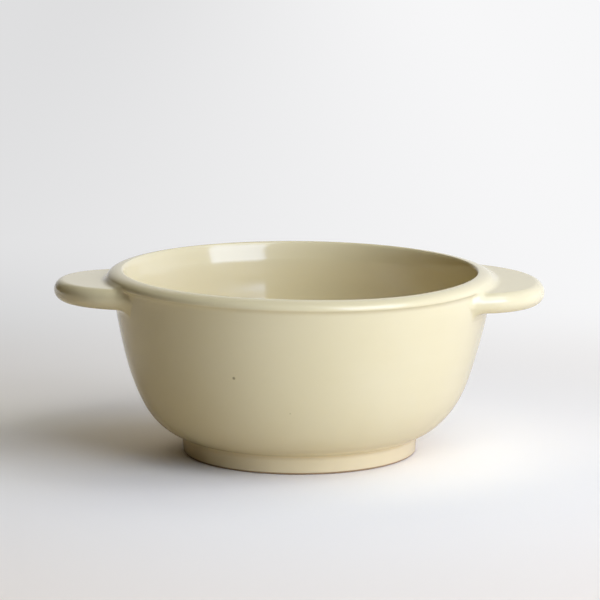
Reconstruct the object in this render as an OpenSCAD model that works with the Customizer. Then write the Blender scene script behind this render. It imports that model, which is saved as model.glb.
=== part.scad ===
// Lug soup bowl in glazed stoneware. A thrown bowl with a rolled lip stands on a
// turned foot ring, and two pressed lugs are luted on just under the lip.
// Lengths are millimetres and +Z is up. The origin is the middle of the foot's
// underside, and the lugs point along +X and -X.

/* [Bowl] */
// Height from the table to the top of the lip
bowl_height = 65; // [63:0.5:69]
// Thickness of the wall halfway up
wall_thickness = 5.5; // [4.8:0.1:6]
// Thickness where the wall curves into the floor
heel_thickness = 6.2; // [5.6:0.1:7]
// Thickness of the floor at its middle
floor_thickness = 6; // [5:0.1:7]
// How far the turned base bulges down inside the foot ring
base_bulge = 1; // [0.4:0.1:1.6]

/* [Lip] */
// Radius of the bowl over its lip
lip_radius = 67.85; // [66:0.05:70]
// Width of the rolled lip, from the mouth to its outside
lip_width = 7.3; // [6.8:0.1:7.8]
// Distance from the mouth's narrowest line out to the crown of the lip
crown_inset = 2.3; // [1.8:0.1:3]
// Drop from the crown of the lip to its widest line outside
lip_drop = 3.2; // [2.8:0.1:3.8]
// Drop from the crown of the lip to the mouth's narrowest line inside
mouth_drop = 5; // [4:0.1:6]
// Height of the rounding below both of those lines
lip_roll = 0.9; // [0.6:0.1:1.2]
// How far round below the lip's widest line the wall runs into it, in degrees
neck_angle = 38; // [30:1:45]
// How far round below the mouth's narrowest line the inner wall begins, in degrees
mouth_angle = 18; // [5:1:30]

/* [Foot ring] */
// Radius of the foot just above the table
foot_radius = 41.4; // [39:0.1:43]
// How far the foot spreads where it meets the wall
foot_spread = 0.4; // [0:0.1:1]
// Height of the foot
foot_height = 6.4; // [5.6:0.1:7.6]
// Width of the ring on the table
foot_width = 6; // [5:0.1:8]
// How far the inside of the ring narrows towards the base
foot_taper = 0.8; // [0:0.1:1.6]
// Radius of the ring's rounded edges
foot_round = 0.8; // [0.4:0.1:1.2]

/* [Lugs] */
// How far each lug stands out past the lip
lug_length = 18.75; // [15:0.05:24]
// Width of the lug where it leaves the bowl
lug_width = 61; // [54:0.5:66]
// How far inside the lip's outside the lug's widest line lies
lug_inset = 9.85; // [7:0.05:12]
// Thickness of the lug
lug_thickness = 7; // [6:0.1:7.6]
// Drop from the top of the lip to the middle of the lug's root
lug_drop = 7.1; // [6.6:0.1:9]
// Fullness of the lug's outline, where 2 is an ellipse
lug_fullness = 2.1; // [2:0.05:2.8]
// How far the outline flares round the bowl at each side of the root
lug_flare = 5; // [3:0.5:7]
// Reach of the soft blend over the root
top_blend = 2.6; // [1.6:0.1:4]
// Size of the soft blend under the root
under_blend = 2.2; // [1.4:0.1:3.4]
// How far round above the lip's widest line the lug is thumbed up, in degrees
seam_angle = 25; // [15:1:35]
// Thickness of the slip between the lug and the bowl
slip_film = 0.02; // [0.01:0.01:0.06]

/* [Set of the lugs by hand] */
// How far the left lug's tip turns up, in degrees
left_pitch = 1; // [-3:0.1:3]
// How far the left lug's far edge turns up, in degrees
left_roll = -1.7; // [-3:0.1:3]
// How far the right lug's tip turns up, in degrees
right_pitch = -2.3; // [-3:0.1:3]
// How far the right lug's far edge turns up, in degrees
right_roll = 1.3; // [-3:0.1:3]

/* [Hidden] */
glaze_cream = "#E6DEC2";
glaze_shade = "#D8CDA8";
round_steps = 96;
wall_steps = 22;
lip_steps = 16;
floor_steps = 8;
edge_steps = 6;
bent_steps = 18;
flare_steps = 5;
ray_steps = 13;
root_steps = 6;
search_steps = 16;
// The wall's curve leaves the foot low and rises late: outward and upward shares
// of its two free control points, between the foot and the neck
belly_shares = [[0.62, 0.092], [0.82, 0.412]];

foot_top_radius = foot_radius + foot_spread;
foot_inner_radius = foot_radius - foot_width;
foot_inner_top = foot_inner_radius - foot_taper;
mouth_radius = lip_radius - lip_width;
crown_radius = mouth_radius + crown_inset;
seat = [foot_top_radius, foot_height];
neck = lip_point(-neck_angle);
mouth = lip_point(180 + mouth_angle);
belly = [for (share = belly_shares) [
    seat[0] + share[0] * (neck[0] - seat[0]),
    seat[1] + share[1] * (neck[1] - seat[1])]];
wall_controls = [seat, belly[0], belly[1], neck];
floor_top = foot_height - base_bulge + floor_thickness;

// Point of a Bezier curve with any number of control points
function bezier(points, t) =
    len(points) == 1
    ? points[0]
    : bezier([for (i = [1:len(points) - 1]) points[i - 1] * (1 - t) + points[i] * t], t);

// Point of the lip's section, by the angle round its crown: 0 at the widest line
// outside, 90 on top and 180 at the narrowest line inside. Each quarter is an oval.
function lip_point(angle) =
    let (
        reach = cos(angle) > 0 ? lip_radius - crown_radius : crown_inset,
        drop = cos(angle) > 0 ? lip_drop : mouth_drop,
        rise = sin(angle) > 0 ? drop : lip_roll
    )
    [crown_radius + reach * cos(angle), bowl_height - drop + rise * sin(angle)];

// Direction of the outer wall, from the foot to the neck
function wall_direction(t) =
    let (step = bezier([for (i = [1:3]) wall_controls[i] - wall_controls[i - 1]], t))
    step / norm(step);

// Point of the inner wall, square to the outer wall and one thickness in
function inner_wall(t) =
    let (
        way = wall_direction(t),
        thickness = wall_thickness + (heel_thickness - wall_thickness) * pow(1 - t, 2)
    )
    bezier(wall_controls, t) + [-way[1], way[0]] * thickness;

// Outer line of the bowl's section, from the foot to the top of the lip
outer_line = concat(
    [for (i = [0:wall_steps - 1]) bezier(wall_controls, i / wall_steps)],
    [for (i = [0:lip_steps]) lip_point(-neck_angle + (90 + neck_angle) * i / lip_steps)]);
// Rest of the section: over the lip, down the inner wall and across the floor
heel = inner_wall(0);
heel_way = wall_direction(0);
floor_bend = [heel[0] - (heel[1] - floor_top) * heel_way[0] / heel_way[1], floor_top];
inner_line = concat(
    [for (i = [1:lip_steps]) lip_point(90 + (90 + mouth_angle) * i / lip_steps)],
    [for (i = [1:wall_steps]) inner_wall(1 - i / wall_steps)],
    [for (i = [1:floor_steps]) bezier([heel, floor_bend, [0, floor_top]], i / floor_steps)]);
// Underside of the base, from the middle to the foot ring's inner edge
base_line = [for (i = [0:floor_steps])
    [foot_inner_top * i / floor_steps, foot_height - base_bulge * (1 - pow(i / floor_steps, 2))]];

// Outside radius of the bowl at a height, and the radius a luted lug sits at
outer_table = [for (p = outer_line) [p[1], p[0]]];
function seat_radius(z) = lookup(z, outer_table) + slip_film;

lug_reach = lip_radius + lug_length;
lug_base = lip_radius - lug_inset;
lug_middle = bowl_height - lug_drop;
lug_half = lug_thickness / 2;
root_radius = seat_radius(lug_middle);
seam_height = lip_point(seam_angle)[1];
flare_start = sqrt(pow(root_radius - lug_flare, 2) - pow(lug_width / 2, 2));
nudge_share = 0.001;

// Height of the middle of a lug at a point seen from above, where set holds the
// lug's pitch and roll
function lug_level(point, set) =
    lug_middle + (point[0] - root_radius) * tan(set[0]) + point[1] * tan(set[1]);

// Outline of the lug from above: a full oval for places from -1 to 1, and
// straight sides back into the bowl out to -2 and 2
function lug_plan(place) =
    let (
        side = place < 0 ? -1 : 1,
        turn = 90 * min(abs(place), 1),
        back = max(abs(place) - 1, 0)
    )
    [lug_base + (lug_reach - lug_base) * pow(cos(turn), 2 / lug_fullness)
         - (lug_base - flare_start) * back,
     side * lug_width / 2 * pow(sin(turn), 2 / lug_fullness)];

// The same outline, flared at its ends until it runs out along the bowl's wall
function lug_outline(place, set) =
    let (
        point = lug_plan(place),
        reach = norm(point),
        wall = seat_radius(lug_level(point / reach * root_radius, set)),
        near = max(lug_flare - abs(reach - wall), 0)
    )
    point / reach * (max(reach, wall) + near * near / (4 * lug_flare));

// How squarely the outline faces outward from the bowl's axis, from 0 to 1
function outline_facing(place, set) =
    let (
        point = lug_outline(place, set),
        way = lug_outline(place + nudge_share, set) - lug_outline(place - nudge_share, set)
    )
    abs(point[0] * way[1] - point[1] * way[0]) / (norm(point) * norm(way));

// Share of the full thickness at a distance in from the outline: a half round
function edge_share(inset) =
    inset >= lug_half ? 1 : sqrt(1 - pow(1 - max(inset, 0) / lug_half, 2));

// Share of a blend's height at a share of its length: a hollow quarter round
function blend_share(x) = x >= 1 ? 0 : 1 - sqrt(1 - pow(1 - max(x, 0), 2));

// Height at which one side of the lug, swelled by its blend, meets the bowl. It
// halves the stretch between two heights until they agree.
function root_height(level, swell, reach, facing, near, far, left) =
    let (
        z = (near + far) / 2,
        inside = abs(z - level) < swell * edge_share((reach - seat_radius(z)) * facing)
    )
    left == 0
    ? z
    : root_height(level, swell, reach, facing, inside ? z : near, inside ? far : z, left - 1);

// One side of the lug along a ray, from its outline back to its root. The root
// lies at most swell from the lug's middle, where up is 1 above and -1 below.
function lug_side(place, set, up, swell, blend) =
    let (
        outline = lug_outline(place, set),
        reach = norm(outline),
        ray = outline / reach,
        facing = outline_facing(place, set),
        level = lug_level(ray * root_radius, set),
        root = root_height(level, swell, reach, facing, level, level + up * swell, search_steps),
        root_reach = seat_radius(root)
    )
    [for (i = [0:ray_steps])
        let (
            r = reach - (reach - root_reach) * pow(sin(90 * i / ray_steps), 2),
            half = lug_half + (swell - lug_half) * blend_share((r - root_reach) / blend),
            rise = half * edge_share((reach - r) * facing)
        )
        [ray[0] * r, ray[1] * r, i == ray_steps ? root : lug_level(ray * r, set) + up * rise]];

// Closed section of the lug on one ray: over the top, down the root and out below
function lug_ring(place, set) =
    let (
        outline = lug_outline(place, set),
        ray = outline / norm(outline),
        level = lug_level(ray * root_radius, set),
        above = lug_side(place, set, 1, seam_height - level, top_blend),
        below = lug_side(place, set, -1, lug_half + under_blend, under_blend),
        high = above[ray_steps][2],
        low = below[ray_steps][2]
    )
    concat(
        above,
        [for (i = [1:root_steps - 1])
            let (z = high + (low - high) * i / root_steps, r = seat_radius(z))
            [ray[0] * r, ray[1] * r, z]],
        [for (i = [ray_steps:-1:1]) below[i]]);

// Places of the lug's sections, closer together than the ends of its flare
places = concat(
    [for (i = [flare_steps - 1:-1:1]) -1 - i / flare_steps],
    [for (i = [-bent_steps:bent_steps]) i / bent_steps],
    [for (i = [1:flare_steps - 1]) 1 + i / flare_steps]);

// Point where the flare runs out into the wall
function flare_end(place, set) =
    let (outline = lug_outline(place, set), ray = outline / norm(outline))
    [outline[0], outline[1], lug_level(ray * root_radius, set)];

// Pressed lug, lofted through its sections and closed at the two ends of the flare
module lug(pitch, roll) {
    set = [pitch, roll];
    rings = [for (place = places) lug_ring(place, set)];
    count = len(rings[0]);
    last = len(rings) * count;
    points = concat(
        [for (ring = rings) each ring],
        [flare_end(-2, set), flare_end(2, set)]);
    sides = [for (k = [0:len(rings) - 2], i = [0:count - 1])
        let (a = k * count + i, b = k * count + (i + 1) % count)
        each [[a, b, b + count], [a, b + count, a + count]]];
    first_end = [for (i = [0:count - 1]) [last, (i + 1) % count, i]];
    far_end = [for (i = [0:count - 1])
        [last + 1, last - count + i, last - count + (i + 1) % count]];
    polyhedron(points, concat(sides, first_end, far_end), convexity = 4);
}

// Thrown bowl: floor, wall and rolled lip, turned from one profile
module bowl_body() {
    color(glaze_cream)
    rotate_extrude($fn = round_steps)
    polygon(concat(base_line, outer_line, inner_line));
}

// Point of the foot's rounded edge, where side is 1 outside and -1 inside
function foot_edge(side, turn) =
    let (face = side > 0 ? foot_radius : foot_inner_radius)
    [face - side * foot_round * (1 - sin(turn)), foot_round * (1 - cos(turn))];

// Turned foot ring, flat and bare of glaze where it stands
module foot_ring() {
    color(glaze_shade)
    rotate_extrude($fn = round_steps)
    polygon(concat(
        [for (i = [0:edge_steps]) foot_edge(1, 90 * i / edge_steps)],
        [seat, [foot_inner_top, foot_height]],
        [for (i = [edge_steps:-1:0]) foot_edge(-1, 90 * i / edge_steps)]));
}

module lug_left() {
    color(glaze_cream)
    mirror([1, 0, 0])
    lug(left_pitch, left_roll);
}

module lug_right() {
    color(glaze_cream)
    lug(right_pitch, right_roll);
}

bowl_body();
foot_ring();
lug_left();
lug_right();
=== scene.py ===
import math

import bpy
import numpy as np
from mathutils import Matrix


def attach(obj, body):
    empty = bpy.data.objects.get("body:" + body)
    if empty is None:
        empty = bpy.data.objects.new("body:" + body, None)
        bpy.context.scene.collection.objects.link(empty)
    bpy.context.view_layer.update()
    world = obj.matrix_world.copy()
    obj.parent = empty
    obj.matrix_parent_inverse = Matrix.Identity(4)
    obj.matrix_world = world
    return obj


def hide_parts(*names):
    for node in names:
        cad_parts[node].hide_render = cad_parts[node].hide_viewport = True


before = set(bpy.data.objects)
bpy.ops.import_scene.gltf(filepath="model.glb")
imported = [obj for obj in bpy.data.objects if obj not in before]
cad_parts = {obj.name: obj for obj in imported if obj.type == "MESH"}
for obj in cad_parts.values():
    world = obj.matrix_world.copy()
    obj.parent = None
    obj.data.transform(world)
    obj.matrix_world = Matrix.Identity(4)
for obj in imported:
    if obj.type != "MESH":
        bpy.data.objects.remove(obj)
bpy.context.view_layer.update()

# Bowl body: cream stoneware thrown on the wheel in one piece and dipped in clear glaze.
# It has a low round belly, a rolled lip and a dished floor, and it settled a little out
# of true while the clay was wet.

MM = 0.001
bowl_height = 65 * MM
wall_thickness = 5.5 * MM
heel_thickness = 6.2 * MM
floor_thickness = 6 * MM
base_bulge = 1 * MM
lip_radius = 67.85 * MM
crown_radius = 62.85 * MM
mouth_radius = 60.55 * MM
lip_drop = 2.7 * MM
mouth_drop = 6.4 * MM
lip_roll = 1.9 * MM
neck_radius = 66.79 * MM
neck_height = 61.25 * MM
foot_height = 6.4 * MM
foot_top_radius = 41.8 * MM
foot_inner_top = 34.6 * MM

# A pull moves a curve's control point, by shares of the curve's span or by a length. An
# ease is how far from a corner its rounding begins.
belly_pull = 0.62, 0.092
shoulder_pull = 0.82, 0.412
wall_top = 0.97
inner_top = 0.9
crease_angle = 42
crease_pull = 0.15 * MM, -0.7 * MM
crease_ease = 1.4 * MM
crown_pull = -1.05 * MM, 0
mouth_pull = 0.95 * MM, 3.9 * MM
mouth_ease = 1.8 * MM

# How finely each part of the section and the turn round the axis are divided.
wall_steps = 86
crease_steps = 12
lip_steps = 56
mouth_steps = 36
inner_steps = 80
floor_steps = 30
base_steps = 12
corner_steps = 8
turn_steps = 288
weld_gap = 0.001 * MM
sliver_gap = 0.0005 * MM


def bezier(points, share):
    """Point of a curve with any number of control points."""
    while len(points) > 1:
        points = [a + (b - a) * share for a, b in zip(points, points[1:])]
    return points[0]


def lip_point(angle):
    """Point of the lip's outer half by its angle: less than 0 under it, 90 on its crown."""
    turn = math.radians(angle)
    rise = lip_drop if turn > 0 else lip_roll
    across = crown_radius + (lip_radius - crown_radius) * math.cos(turn)
    return np.array([across, bowl_height - lip_drop + rise * math.sin(turn)])


seat = np.array([foot_top_radius, foot_height])
neck = np.array([neck_radius, neck_height])
wall_curve = [
    seat,
    seat + (neck - seat) * belly_pull,
    seat + (neck - seat) * shoulder_pull,
    neck,
]


def inner_wall(share):
    """Point of the inner wall, square to the outer one and one thickness in."""
    steps = [b - a for a, b in zip(wall_curve, wall_curve[1:])]
    way = bezier(steps, share)
    way = way / np.linalg.norm(way)
    thickness = wall_thickness + (heel_thickness - wall_thickness) * (1 - share) ** 2
    return bezier(wall_curve, share) + np.array([-way[1], way[0]]) * thickness


def ease_corner(line, corner, reach):
    """Rounds one corner of a line with a curve that begins and ends a reach away."""
    tip = line[corner]
    before = [p for p in line[:corner] if np.linalg.norm(p - tip) > reach]
    after = [p for p in line[corner + 1:] if np.linalg.norm(p - tip) > reach]
    bend = [
        bezier([before[-1], tip, after[0]], i / corner_steps)
        for i in range(1, corner_steps)
    ]
    return before + bend + after


# The section is walked from the middle of the base out and up the wall, over the lip
# and down inside to the middle of the floor.
base_line = []
for i in range(base_steps + 1):
    share = i / base_steps
    base_line.append(
        np.array([foot_inner_top * share, foot_height - base_bulge * (1 - share ** 2)]))

wall_line = [bezier(wall_curve, wall_top * i / wall_steps) for i in range(wall_steps)]
crease = lip_point(-crease_angle)
crease_curve = [bezier(wall_curve, wall_top), crease + crease_pull, crease]
crease_line = [bezier(crease_curve, i / crease_steps) for i in range(crease_steps)]
outer_lip = [
    lip_point(-crease_angle + (90 + crease_angle) * i / lip_steps)
    for i in range(lip_steps + 1)
]
outer_line = ease_corner(
    wall_line + crease_line + outer_lip, len(wall_line + crease_line), crease_ease)

crown = lip_point(90)
mouth = np.array([mouth_radius, bowl_height - mouth_drop])
mouth_curve = [crown, crown + crown_pull, mouth + mouth_pull, mouth]
inner_lip = [bezier(mouth_curve, i / mouth_steps) for i in range(1, mouth_steps + 1)]
inner_side = [inner_wall(inner_top * (1 - i / inner_steps)) for i in range(inner_steps + 1)]
inner_line = ease_corner(inner_lip + inner_side, len(inner_lip), mouth_ease)

heel = inner_side[-1]
heel_way = wall_curve[1] - wall_curve[0]
floor_top = foot_height - base_bulge + floor_thickness
floor_bend = np.array([heel[0] - (heel[1] - floor_top) * heel_way[0] / heel_way[1], floor_top])
floor_curve = [heel, floor_bend, np.array([0, floor_top])]
floor_line = [bezier(floor_curve, i / floor_steps) for i in range(1, floor_steps + 1)]


def turn_section(name, section):
    """Sets a ring of points to a section and spins it once round the bowl's axis."""
    bpy.ops.object.select_all(action="DESELECT")
    bpy.ops.mesh.primitive_circle_add(vertices=len(section), radius=bowl_height)
    piece = bpy.context.object
    piece.name = name
    for vertex, (across, height) in zip(piece.data.vertices, section):
        vertex.co = across, 0, height
    bpy.ops.object.mode_set(mode="EDIT")
    bpy.ops.mesh.select_all(action="SELECT")
    bpy.ops.mesh.spin(steps=turn_steps, angle=math.tau, center=(0, 0, 0), axis=(0, 0, 1))
    bpy.ops.mesh.select_all(action="SELECT")
    bpy.ops.mesh.remove_doubles(threshold=weld_gap)
    bpy.ops.mesh.dissolve_degenerate(threshold=sliver_gap)
    bpy.ops.mesh.normals_make_consistent(inside=False)
    bpy.ops.object.mode_set(mode="OBJECT")
    bpy.ops.object.shade_smooth()
    return piece


# How the clay settled: the rim tilts to the right and dips at the front right, the belly
# sits a little to the right, the right side swells below the lip, and the wheel left
# faint rings. A dip and a bulge have their middle and width, with bearings in degrees
# from the front. The other pairs are where a change starts and ends.
rim_tilt = 0.46
front_dip = 0.5 * MM
dip_bearing = 33, 45
belly_shift = 0.45 * MM
belly_rise = 8 * MM, 24 * MM
belly_fade = 56 * MM, 62 * MM
side_bulge = 0.95 * MM
bulge_bearing = 90, 55
bulge_level = 55 * MM, 26 * MM
ridge_depth = 0.012 * MM
ridge_pitch = 6.5 * MM
wall_fade = 67 * MM, 78 * MM


def swell(value, middle, width):
    """Rises to 1 at the middle and dies away to nothing one width to each side."""
    return math.cos(min(abs(value - middle) / width, 1) * math.pi / 2) ** 2


def ease(value, start, end):
    """Climbs smoothly from 0 at the start to 1 at the end."""
    share = min(max((value - start) / (end - start), 0), 1)
    return share * share * (3 - 2 * share)


def settle(point):
    """Where a point of the true form lies in the fired bowl."""
    x, y, z = point
    radius = max(math.hypot(x, y), MM)
    bearing = math.degrees(math.atan2(x, -y))
    up = max(z / bowl_height, 0)
    on_wall = 1 - ease(radius, *wall_fade)
    belly = ease(z, *belly_rise) * (1 - ease(z, *belly_fade)) * on_wall
    grow = ridge_depth * math.sin(math.tau * z / ridge_pitch + math.radians(bearing)) * belly
    grow += side_bulge * swell(bearing, *bulge_bearing) * swell(z, *bulge_level) * on_wall
    drop = x * math.tan(math.radians(rim_tilt)) * up
    drop += front_dip * swell(bearing, *dip_bearing) * up ** 3
    scale = 1 + grow / radius
    return x * scale + belly_shift * belly, y * scale, z - drop


def settle_piece(piece):
    """Moves every vertex of a piece to where the settled clay has it."""
    for vertex in piece.data.vertices:
        vertex.co = settle(vertex.co)
    piece.data.update()


bowl = turn_section("bowl", base_line + outer_line + inner_line + floor_line)
settle_piece(bowl)


def tint(code):
    """Linear colour of an sRGB hex value."""
    shares = [int(code[i:i + 2], 16) / 255 for i in (1, 3, 5)]
    shares = [s / 12.92 if s <= 0.04045 else ((s + 0.055) / 1.055) ** 2.4 for s in shares]
    return (*shares, 1)


def add_node(material, kind, settings=None, values=None, links=None):
    """Adds one node with its settings, its sockets' values and the links into it."""
    node = material.node_tree.nodes.new(kind)
    for name, value in (settings or {}).items():
        setattr(node, name, value)
    for name, value in (values or {}).items():
        node.inputs[name].default_value = value
    for name, source in (links or {}).items():
        material.node_tree.links.new(source, node.inputs[name])
    return node


def new_material(name):
    """Empty node material with the name of its finish."""
    material = bpy.data.materials.new(name)
    material.use_nodes = True
    material.node_tree.nodes.clear()
    return material


# Clear glaze, dipped and fired: an even cream with a hard, glassy shine. The cream
# clouds a little warmer where the dip ran thicker, in patches about 26 mm across. Its
# skin has a fine peel, 3.5 mm from crest to crest and 0.004 mm deep, which softens the
# edges of what it mirrors.
cloud_width = 26 * MM
peel_width = 3.5 * MM
peel_depth = 0.004 * MM
glaze_roughness = 0.12


def glaze(name, pale, deep):
    """The glaze, clouded from pale to deep, with its coordinates and its shader."""
    material = new_material(name)
    coords = add_node(material, "ShaderNodeTexCoord").outputs["Object"]
    cloud = add_node(
        material, "ShaderNodeTexNoise",
        values={"Scale": 1 / cloud_width, "Detail": 3, "Roughness": 0.5},
        links={"Vector": coords},
    )
    cream = add_node(
        material, "ShaderNodeMix", settings={"data_type": "RGBA"},
        values={6: tint(pale), 7: tint(deep)},
        links={0: cloud.outputs["Fac"]},
    )
    peel = add_node(
        material, "ShaderNodeTexNoise",
        values={"Scale": 1 / peel_width, "Detail": 1, "Roughness": 0.4},
        links={"Vector": coords},
    )
    ripple = add_node(
        material, "ShaderNodeBump",
        values={"Strength": 1, "Distance": peel_depth},
        links={"Height": peel.outputs["Fac"]},
    )
    surface = add_node(
        material, "ShaderNodeBsdfPrincipled",
        values={"IOR": 1.54, "Roughness": glaze_roughness},
        links={"Base Color": cream.outputs[2], "Normal": ripple.outputs["Normal"]},
    )
    add_node(
        material, "ShaderNodeOutputMaterial",
        links={"Surface": surface.outputs["BSDF"]},
    )
    return material, coords, surface


cream_glaze, coords, surface = glaze("clear glaze on cream stoneware", "#E0D0A2", "#DBCA98")

# Two specks of iron that burnt through the glaze at the front: place, radius, colour.
iron_specks = [
    ((-22.1 * MM, -58.6 * MM, 37.3 * MM), 0.75 * MM, "#8A7A55"),
    ((-3.1 * MM, -59.2 * MM, 25.2 * MM), 0.45 * MM, "#A39268"),
]
speck_core = 0.4
speck_strength = 0.8
for spot, radius, colour in iron_specks:
    from_spot = add_node(
        cream_glaze, "ShaderNodeVectorMath", settings={"operation": "DISTANCE"},
        values={1: spot},
        links={0: coords},
    )
    within = add_node(
        cream_glaze, "ShaderNodeMapRange", settings={"interpolation_type": "SMOOTHSTEP"},
        values={"From Min": radius, "From Max": speck_core * radius, "To Max": speck_strength},
        links={"Value": from_spot.outputs["Value"]},
    )
    under = surface.inputs["Base Color"].links[0].from_socket
    speckled = add_node(
        cream_glaze, "ShaderNodeMix", settings={"data_type": "RGBA"},
        values={7: tint(colour)},
        links={0: within.outputs["Result"], 6: under},
    )
    cream_glaze.node_tree.links.new(speckled.outputs[2], surface.inputs["Base Color"])
bowl.data.materials.append(cream_glaze)
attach(bowl, "root")
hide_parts("bowl_body")

# Foot ring: turned from the same clay when the bowl is leather-hard. Glaze runs down
# its side and gathers in the soft hollow below the belly, and is wiped off the face
# that stands on the table, where its brown line is partly painted contact shade.

foot_radius = 41.4 * MM
foot_inner_radius = 35.4 * MM
foot_round = 0.8 * MM
edge_steps = 8
hollow_drop = 1.6 * MM
hollow_top = 0.036
hollow_steps = 12
inner_fall = 0.15 * MM, -1.2 * MM
base_run = -1.4 * MM, -0.08 * MM
bury = 0, 0.6 * MM
crisp_angle = 50


def foot_edge(side, turn):
    """Point of the foot's rounded edge, where side is 1 outside and -1 inside."""
    face = foot_radius if side > 0 else foot_inner_radius
    turn = math.radians(turn)
    across = face - side * foot_round * (1 - math.sin(turn))
    return np.array([across, foot_round * (1 - math.cos(turn))])


outer_edge = [foot_edge(1, 90 * i / edge_steps) for i in range(edge_steps + 1)]
inner_edge = [foot_edge(-1, 90 * i / edge_steps) for i in range(edge_steps, -1, -1)]
foot_side = seat + (outer_edge[-1] - seat) * hollow_drop / (foot_height - foot_round)
wall_joint = bezier(wall_curve, hollow_top)
hollow = [
    bezier([foot_side, seat, wall_joint], i / hollow_steps)
    for i in range(hollow_steps + 1)
]
inner_corner = np.array([foot_inner_top, foot_height])
base_joint = inner_corner + base_run
inner_curve = [base_joint, inner_corner, inner_corner + inner_fall]
inner_hollow = [bezier(inner_curve, i / edge_steps) for i in range(edge_steps + 1)]
foot_section = (
    outer_edge + hollow + [wall_joint + bury, base_joint + bury]
    + inner_hollow + inner_edge
)
foot = turn_section("foot", foot_section)
settle_piece(foot)
bpy.ops.object.shade_smooth_by_angle(angle=math.radians(crisp_angle))

# The same glaze, thinner and warmer, and a matt line of unglazed clay 0.75 mm high where it
# was wiped off the edge that stands on the table. Its brown is partly the clay's own colour
# and partly painted shade where the foot meets the table.
wiped_height = 0.75 * MM
wiped_blur = 0.15 * MM
clay_roughness = 0.8
foot_glaze, coords, surface = glaze("thin glaze on turned stoneware foot", "#E4D09E", "#DEC894")
height = add_node(foot_glaze, "ShaderNodeSeparateXYZ", links={"Vector": coords})
bare_and_contact_shade = add_node(
    foot_glaze, "ShaderNodeMapRange", settings={"interpolation_type": "SMOOTHSTEP"},
    values={"From Min": wiped_height + wiped_blur, "From Max": wiped_height - wiped_blur},
    links={"Value": height.outputs["Z"]},
)
under = surface.inputs["Base Color"].links[0].from_socket
# Painted shade: this brown is darker than the unglazed clay alone, standing in for the contact
# shade at the table.
clay = add_node(
    foot_glaze, "ShaderNodeMix", settings={"data_type": "RGBA"},
    values={7: tint("#A98A5E")},
    links={0: bare_and_contact_shade.outputs["Result"], 6: under},
)
dry = add_node(
    foot_glaze, "ShaderNodeMapRange",
    values={"To Min": glaze_roughness, "To Max": clay_roughness},
    links={"Value": bare_and_contact_shade.outputs["Result"]},
)
foot_glaze.node_tree.links.new(clay.outputs[2], surface.inputs["Base Color"])
foot_glaze.node_tree.links.new(dry.outputs["Result"], surface.inputs["Roughness"])
foot.data.materials.append(foot_glaze)
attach(foot, "root")
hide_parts("foot_ring")

# Lugs: flat half-round slabs pressed from the same clay and luted on just under the
# lip. The edge is a full round, the ends flare out along the wall, and the joint is
# thumbed to a soft hollow above and below. Each was set by hand at its own tilt.

lug_reach = 86.6 * MM
lug_width = 61 * MM
lug_base = 58 * MM
lug_half = 3.6 * MM
lug_middle = bowl_height - 7.1 * MM
lug_lift = 0.5 * MM
lug_fullness = 2.1
lug_flare = 5 * MM
top_hollow = 2.8 * MM
under_hollow = 3.6 * MM
flare_fade = 3 * MM
crown_fade = 2.5 * MM
lug_rows = 96
flare_rows = 14
lug_columns = 150
root_columns = 24
root_depth = 0.8 * MM
end_depth = 1.5 * MM
lug_sink = 0.03 * MM
outer_from = 0.66 * bowl_height
outer_points = 1200
nose_points = 60
back_points = 80
back_run = 4 * MM
fit_rounds = 3
smooth_rounds = 4
pull_rounds = 3
nudge = 0.002 * MM
place_nudge = 0.001
least_slope = 0.05
least_hollow = 1e-9

outer = np.array([p for p in outer_line if p[1] > outer_from])


def even_path(path, count):
    """The same line with its points spread evenly."""
    steps = np.linalg.norm(np.diff(path, axis=0), axis=1)
    run = np.concatenate([[0], np.cumsum(steps)])
    spots = np.linspace(0, run[-1], count)
    return np.stack([np.interp(spots, run, path[:, k]) for k in (0, 1)], axis=-1)


outer_run = even_path(outer, outer_points)
along_run = np.gradient(outer_run, axis=0)
along_run /= np.linalg.norm(along_run, axis=1)[:, None]
inward = np.stack([-along_run[:, 1], along_run[:, 0]], axis=-1)


def wall_distance(r, z):
    """How far points lie outside the bowl's outer line, less than 0 in the clay."""
    ends = outer[1:] - outer[:-1]
    points = np.stack([r, z], axis=-1)[..., None, :]
    away = points - outer[:-1]
    share = np.clip((away * ends).sum(-1) / (ends ** 2).sum(-1), 0, 1)
    away = away - ends * share[..., None]
    gap = np.hypot(away[..., 0], away[..., 1])
    near = gap.argmin(-1)[..., None]
    side = away[..., 0] * ends[:, 1] - away[..., 1] * ends[:, 0]
    gap = np.take_along_axis(gap, near, -1)[..., 0]
    side = np.take_along_axis(side, near, -1)[..., 0]
    return np.sign(side) * gap


seat_radius = float(np.interp(lug_middle, outer[:, 1], outer[:, 0]))
flare_start = math.sqrt((seat_radius - lug_flare) ** 2 - (lug_width / 2) ** 2)


def lug_plan(place):
    """Outline from above: an oval from -1 to 1 and straight sides out to -2 and 2."""
    side = -1 if place < 0 else 1
    turn = math.pi / 2 * min(abs(place), 1)
    back = max(abs(place) - 1, 0)
    along = lug_base + (lug_reach - lug_base) * max(math.cos(turn), 0) ** (2 / lug_fullness)
    across = side * lug_width / 2 * math.sin(turn) ** (2 / lug_fullness)
    return np.array([along - (lug_base - flare_start) * back, across])


def lug_outline(place, wall):
    """The outline, flared at its ends until it runs out along the bowl's wall."""
    point = lug_plan(place)
    reach = np.linalg.norm(point)
    near = max(lug_flare - abs(reach - wall), 0)
    return point / reach * (max(reach, wall) + near * near / (4 * lug_flare))


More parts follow.
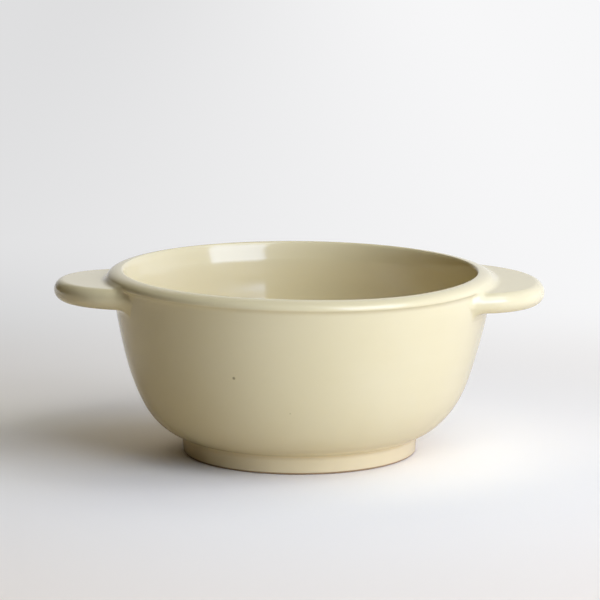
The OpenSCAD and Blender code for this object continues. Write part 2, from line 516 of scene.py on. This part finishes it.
def lug_ring(place, side, pitch, roll):
    """Closed section of the lug on one ray from the bowl's axis, as (x, y, z) points."""
    slope = math.tan(math.radians(pitch)), math.tan(math.radians(roll))
    root_level = lug_middle + side * lug_lift

    def level(ray, r):
        """Height of the slab's middle at a radius."""
        return root_level + (ray[0] * r - seat_radius) * slope[0] + ray[1] * r * slope[1]

    point = lug_plan(place)
    ray = point / np.linalg.norm(point)
    wall = float(np.interp(level(ray, seat_radius), outer[:, 1], outer[:, 0]))
    reach = np.linalg.norm(lug_outline(place, wall))
    way = lug_outline(place + place_nudge, wall) - lug_outline(place - place_nudge, wall)
    facing = abs(ray[0] * way[1] - ray[1] * way[0]) / np.linalg.norm(way)
    fade = ease(max(reach - wall, 0), 0, flare_fade)

    def slab_distance(r, z):
        """How far points lie outside the slab and its half-round edge."""
        inset = (reach - r) * facing
        rise = z - level(ray, r)
        edge = np.hypot(lug_half - inset, rise) - lug_half
        return np.where(inset > lug_half, np.abs(rise) - lug_half, edge)

    def blend(z):
        """Size of the thumbed hollow, which dies away at the crown and the flare's end."""
        share = np.clip((z - level(ray, seat_radius)) / lug_half * 0.5 + 0.5, 0, 1)
        under_crown = np.clip((bowl_height - z) / crown_fade, 0, 1)
        size = under_hollow + (top_hollow - under_hollow) * share
        return size * fade * under_crown + least_hollow

    def clay_distance(r, z):
        """How far points lie outside bowl and slab, joined by the hollow."""
        bowl_gap, slab_gap = wall_distance(r, z), slab_distance(r, z)
        size = blend(z)
        share = np.maximum(size - np.abs(bowl_gap - slab_gap), 0) / size
        hidden = np.where(bowl_gap < slab_gap, np.clip(1 - 4 * share, 0, 1), 0)
        return np.minimum(bowl_gap, slab_gap) - share ** 2 * size / 4 + lug_sink * hidden

    # The first path goes from the crown down the bowl's outline, out over the slab,
    # round its edge, back under it and down the wall.
    apart = slab_distance(outer_run[:, 0], outer_run[:, 1]) - blend(outer_run[:, 1])
    clear = apart > 0
    clear[0] = clear[-1] = True
    middle_row = int(np.abs(outer_run[:, 1] - level(ray, wall)).argmin())
    top_row = middle_row + int(np.argmax(clear[middle_row:]))
    low_row = middle_row - int(np.argmax(clear[middle_row::-1]))
    turns = np.linspace(math.pi / 2, -math.pi / 2, nose_points)
    nose = np.stack([
        reach - (lug_half - lug_half * np.cos(turns)) / facing,
        level(ray, reach) + lug_half * np.sin(turns)], axis=-1)
    back_r = np.linspace(wall - back_run, nose[0, 0], back_points)
    top = np.stack([back_r, level(ray, back_r) + lug_half], axis=-1)
    low = np.stack([back_r, level(ray, back_r) - lug_half], axis=-1)[::-1]
    slab = np.concatenate([top, nose, low])
    slab = slab[wall_distance(slab[:, 0], slab[:, 1]) > 0]
    path = np.concatenate([outer_run[:top_row - 1:-1], slab, outer_run[low_row::-1]])

    # It is spread and smoothed, and then pulled square onto the surface of the clay.
    for _ in range(fit_rounds):
        path = even_path(path, lug_columns)
        for _ in range(smooth_rounds):
            path[1:-1] = (path[:-2] + 2 * path[1:-1] + path[2:]) / 4
        for _ in range(pull_rounds):
            r, z = path[:, 0], path[:, 1]
            gap = clay_distance(r, z)
            slope_r = (clay_distance(r + nudge, z) - gap) / nudge
            slope_z = (clay_distance(r, z + nudge) - gap) / nudge
            steep = np.maximum(slope_r ** 2 + slope_z ** 2, least_slope)
            path[:, 0] -= gap * slope_r / steep
            path[:, 1] -= gap * slope_z / steep

    # The root comes back up inside the wall. Each end shrinks to a point in the clay.
    rows = np.linspace(0, len(outer_run) - 1, root_columns + 2)[1:-1].astype(int)
    root = outer_run[rows] + root_depth * inward[rows]
    if abs(place) == 2:
        end = np.array([wall - end_depth, level(ray, wall)])
        path = np.repeat(end[None, :], lug_columns, axis=0)
        root = path[:root_columns]
    ring = np.concatenate([path, root, path[:1]])
    return [(ray[0] * r, ray[1] * r, z) for r, z in ring]


places = [-2 + i / flare_rows for i in range(flare_rows)]
places += [-1 + 2 * i / lug_rows for i in range(lug_rows + 1)]
places += [1 + i / flare_rows for i in range(1, flare_rows + 1)]


def press_lug(name, side, pitch, roll):
    """Lays a grid over the lug's sections, closes it and fixes the lug to its side."""
    rings = [lug_ring(place, side, pitch, roll) for place in places]
    columns = len(rings[0])
    bpy.ops.object.select_all(action="DESELECT")
    bpy.ops.mesh.primitive_grid_add(
        x_subdivisions=columns - 1, y_subdivisions=len(rings) - 1, size=MM, location=(0, 0, 0))
    piece = bpy.context.object
    piece.name = name
    net = [point for ring in rings for point in ring]
    for vertex, (x, y, z) in zip(piece.data.vertices, net):
        vertex.co = settle((side * x, y, z))
    bpy.ops.object.mode_set(mode="EDIT")
    bpy.ops.mesh.select_all(action="SELECT")
    bpy.ops.mesh.remove_doubles(threshold=weld_gap)
    bpy.ops.mesh.normals_make_consistent(inside=False)
    bpy.ops.object.mode_set(mode="OBJECT")
    bpy.ops.object.shade_smooth_by_angle(angle=math.radians(crisp_angle))
    piece.data.materials.append(cream_glaze)
    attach(piece, "root")
    return piece


left_lug = press_lug("left_lug", -1, 0.58, -1.7)
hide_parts("lug_left")
right_lug = press_lug("right_lug", 1, -1.88, 1.3)
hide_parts("lug_right")

# Studio: matt white paper under and behind the bowl, a large soft window at the right
# in front, and the weak light of the pale room round it.

sweep_width = 8
sweep_front = -5
sweep_back = 3
painted_light_reach = 0.06, 0.26
lit_from = -0.02, 0.3
left_to_right = -0.24, 0.17
past_shade = 0.1, 0.5

bpy.ops.object.select_all(action="DESELECT")
bpy.ops.mesh.primitive_plane_add(size=1, location=(0, 0, 0))
sweep = bpy.context.object
sweep.name = "paper_sweep"
for vertex in sweep.data.vertices:
    vertex.co.x = math.copysign(sweep_width / 2, vertex.co.x)
    vertex.co.y = sweep_back if vertex.co.y > 0 else sweep_front

# Matt paper: an even white with no shine. The camera sees it a little whiter than the
# bounce that it throws on the bowl. Close to the bowl it is painted whiter and cooler
# still: painted light that lifts the bowl's shadow and the bowl's warm bounce on the paper.
paper = new_material("matt white paper")
coords = add_node(paper, "ShaderNodeTexCoord").outputs["Object"]
axes = add_node(paper, "ShaderNodeSeparateXYZ", links={"Vector": coords})
light_path = add_node(paper, "ShaderNodeLightPath")
from_bowl = add_node(
    paper, "ShaderNodeVectorMath", settings={"operation": "LENGTH"}, links={0: coords})
away = add_node(
    paper, "ShaderNodeMapRange", settings={"interpolation_type": "SMOOTHSTEP"},
    values={"From Min": painted_light_reach[0], "From Max": painted_light_reach[1]},
    links={"Value": from_bowl.outputs["Value"]},
)
# Painted light: whiter, cooler paper close to the bowl, fading to the plain paper further out.
white = add_node(
    paper, "ShaderNodeMix", settings={"data_type": "RGBA"},
    values={6: tint("#FAF4E5"), 7: tint("#F4E7D1")},
    links={0: away.outputs["Result"]},
)
paper_tone = add_node(
    paper, "ShaderNodeMix", settings={"data_type": "RGBA"},
    values={6: tint("#E0D5C0")},
    links={0: light_path.outputs["Is Camera Ray"], 7: white.outputs[2]},
)
sheet = add_node(paper, "ShaderNodeBsdfDiffuse", links={"Color": paper_tone.outputs[2]})

# Behind the bowl the paper turns into a glowing backdrop with painted light: it is painted
# brighter towards the window's side, and on the left it is painted darker close to the bowl
# as the bowl's shade, brightening past it. It is drawn for the camera and for what the
# glaze mirrors, and puts no light on the bowl.
depth = add_node(
    paper, "ShaderNodeMapRange", settings={"interpolation_type": "SMOOTHSTEP"},
    values={"From Min": past_shade[0], "From Max": past_shade[1]},
    links={"Value": axes.outputs["Y"]},
)
# Painted shade: darker on the left close behind the bowl, lighter further back.
painted_shade_side = add_node(
    paper, "ShaderNodeMix", settings={"data_type": "RGBA"},
    values={6: tint("#C4C4C4"), 7: tint("#DFDFE0")},
    links={0: depth.outputs["Result"]},
)
across = add_node(
    paper, "ShaderNodeMapRange", settings={"interpolation_type": "SMOOTHSTEP"},
    values={"From Min": left_to_right[0], "From Max": left_to_right[1]},
    links={"Value": axes.outputs["X"]},
)
# Painted light: the backdrop brighter towards the window at the right.
backdrop = add_node(
    paper, "ShaderNodeMix", settings={"data_type": "RGBA"},
    values={7: tint("#F7F7F8")},
    links={0: across.outputs["Result"], 6: painted_shade_side.outputs[2]},
)
shine = add_node(paper, "ShaderNodeEmission", links={"Color": backdrop.outputs[2]})
seen = light_path.outputs["Is Camera Ray"]
for kind in ("Is Glossy Ray", "Is Transmission Ray"):
    either = add_node(
        paper, "ShaderNodeMath", settings={"operation": "MAXIMUM"},
        links={0: seen, 1: light_path.outputs[kind]},
    )
    seen = either.outputs["Value"]
behind_bowl = add_node(
    paper, "ShaderNodeMapRange", settings={"interpolation_type": "SMOOTHSTEP"},
    values={"From Min": lit_from[0], "From Max": lit_from[1]},
    links={"Value": axes.outputs["Y"]},
)
share = add_node(
    paper, "ShaderNodeMath", settings={"operation": "MULTIPLY"},
    links={0: seen, 1: behind_bowl.outputs["Result"]},
)
both = add_node(
    paper, "ShaderNodeMixShader",
    links={0: share.outputs["Value"], 1: sheet.outputs["BSDF"], 2: shine.outputs["Emission"]},
)
add_node(paper, "ShaderNodeOutputMaterial", links={"Surface": both.outputs["Shader"]})
sweep.data.materials.append(paper)

# The room's pale wall behind the bowl and to its right, which fades out on both sides.
wall_way = 0.5, 0.866, 0
wall_edge = 0.35, 0.95
wall_glow = 1.1
room = bpy.data.worlds.new("pale room")
room.use_nodes = True
room.node_tree.nodes.clear()
way = add_node(room, "ShaderNodeTexCoord").outputs["Generated"]
towards = add_node(
    room, "ShaderNodeVectorMath", settings={"operation": "DOT_PRODUCT"},
    values={1: wall_way},
    links={0: way},
)
glow = add_node(
    room, "ShaderNodeMapRange", settings={"interpolation_type": "SMOOTHSTEP"},
    values={"From Min": wall_edge[0], "From Max": wall_edge[1], "To Min": 0, "To Max": wall_glow},
    links={"Value": towards.outputs["Value"]},
)
walls = add_node(room, "ShaderNodeBackground", links={"Strength": glow.outputs["Result"]})
add_node(room, "ShaderNodeOutputWorld", links={"Surface": walls.outputs["Background"]})
bpy.context.scene.world = room

aim_height = 30 * MM


def hang_softbox(name, bearing, height, distance, width, tall, glow, colour, shows):
    """Hangs a soft lamp round the bowl, facing it: angles in degrees, sizes in metres."""
    turn, rise = math.radians(bearing), math.radians(height)
    bpy.ops.object.select_all(action="DESELECT")
    bpy.ops.object.light_add(
        type="AREA",
        location=(
            distance * math.sin(turn) * math.cos(rise),
            -distance * math.cos(turn) * math.cos(rise),
            distance * math.sin(rise) + aim_height,
        ),
        rotation=(math.pi / 2 - rise, 0, turn),
    )
    lamp = bpy.context.object
    lamp.name = name
    lamp.data.shape = "RECTANGLE"
    lamp.data.size = width
    lamp.data.size_y = tall
    lamp.data.energy = glow * math.pi * width * tall
    lamp.data.color = tint(colour)[:3]
    lamp.visible_camera = False
    lamp.visible_glossy = shows


# Only the window and its head show in the glaze. The rest is the soft light of the room.
hang_softbox("window", 46, 25, 1.2, 0.85, 0.55, 7.2, "#CEDDFF", True)
hang_softbox("window sill", 46, 3, 1.2, 0.9, 0.3, 12.2, "#C5D6FF", False)
hang_softbox("window head", 54, 52, 1.2, 0.95, 0.5, 3.7, "#F3F7FF", True)
hang_softbox("near wall", 8, 2, 1.3, 0.6, 0.4, 0.5, "#FFF6EA", False)
hang_softbox("side wall", 88, 12, 1.3, 0.7, 0.7, 3.0, "#7080FF", False)
hang_softbox("sky, side", 100, 55, 1.3, 0.9, 0.6, 2.7, "#E6F2FF", False)
hang_softbox("sky, left", -140, 50, 1.3, 0.9, 0.6, 1.2, "#FFF5E8", False)

# Camera: a little above the lip from well back through a long lens, as the photograph
# was taken.

camera_back = 1.0838
camera_height = 0.2447
camera_pitch = 80.01
bpy.ops.object.camera_add(
    location=(0, -camera_back, camera_height), rotation=(math.radians(camera_pitch), 0, 0))
camera = bpy.context.object
camera.data.lens = 186.7
camera.data.sensor_width = 36
camera.data.shift_x = 0.0011
bpy.context.scene.camera = camera
bpy.context.scene.view_settings.view_transform = "Standard"
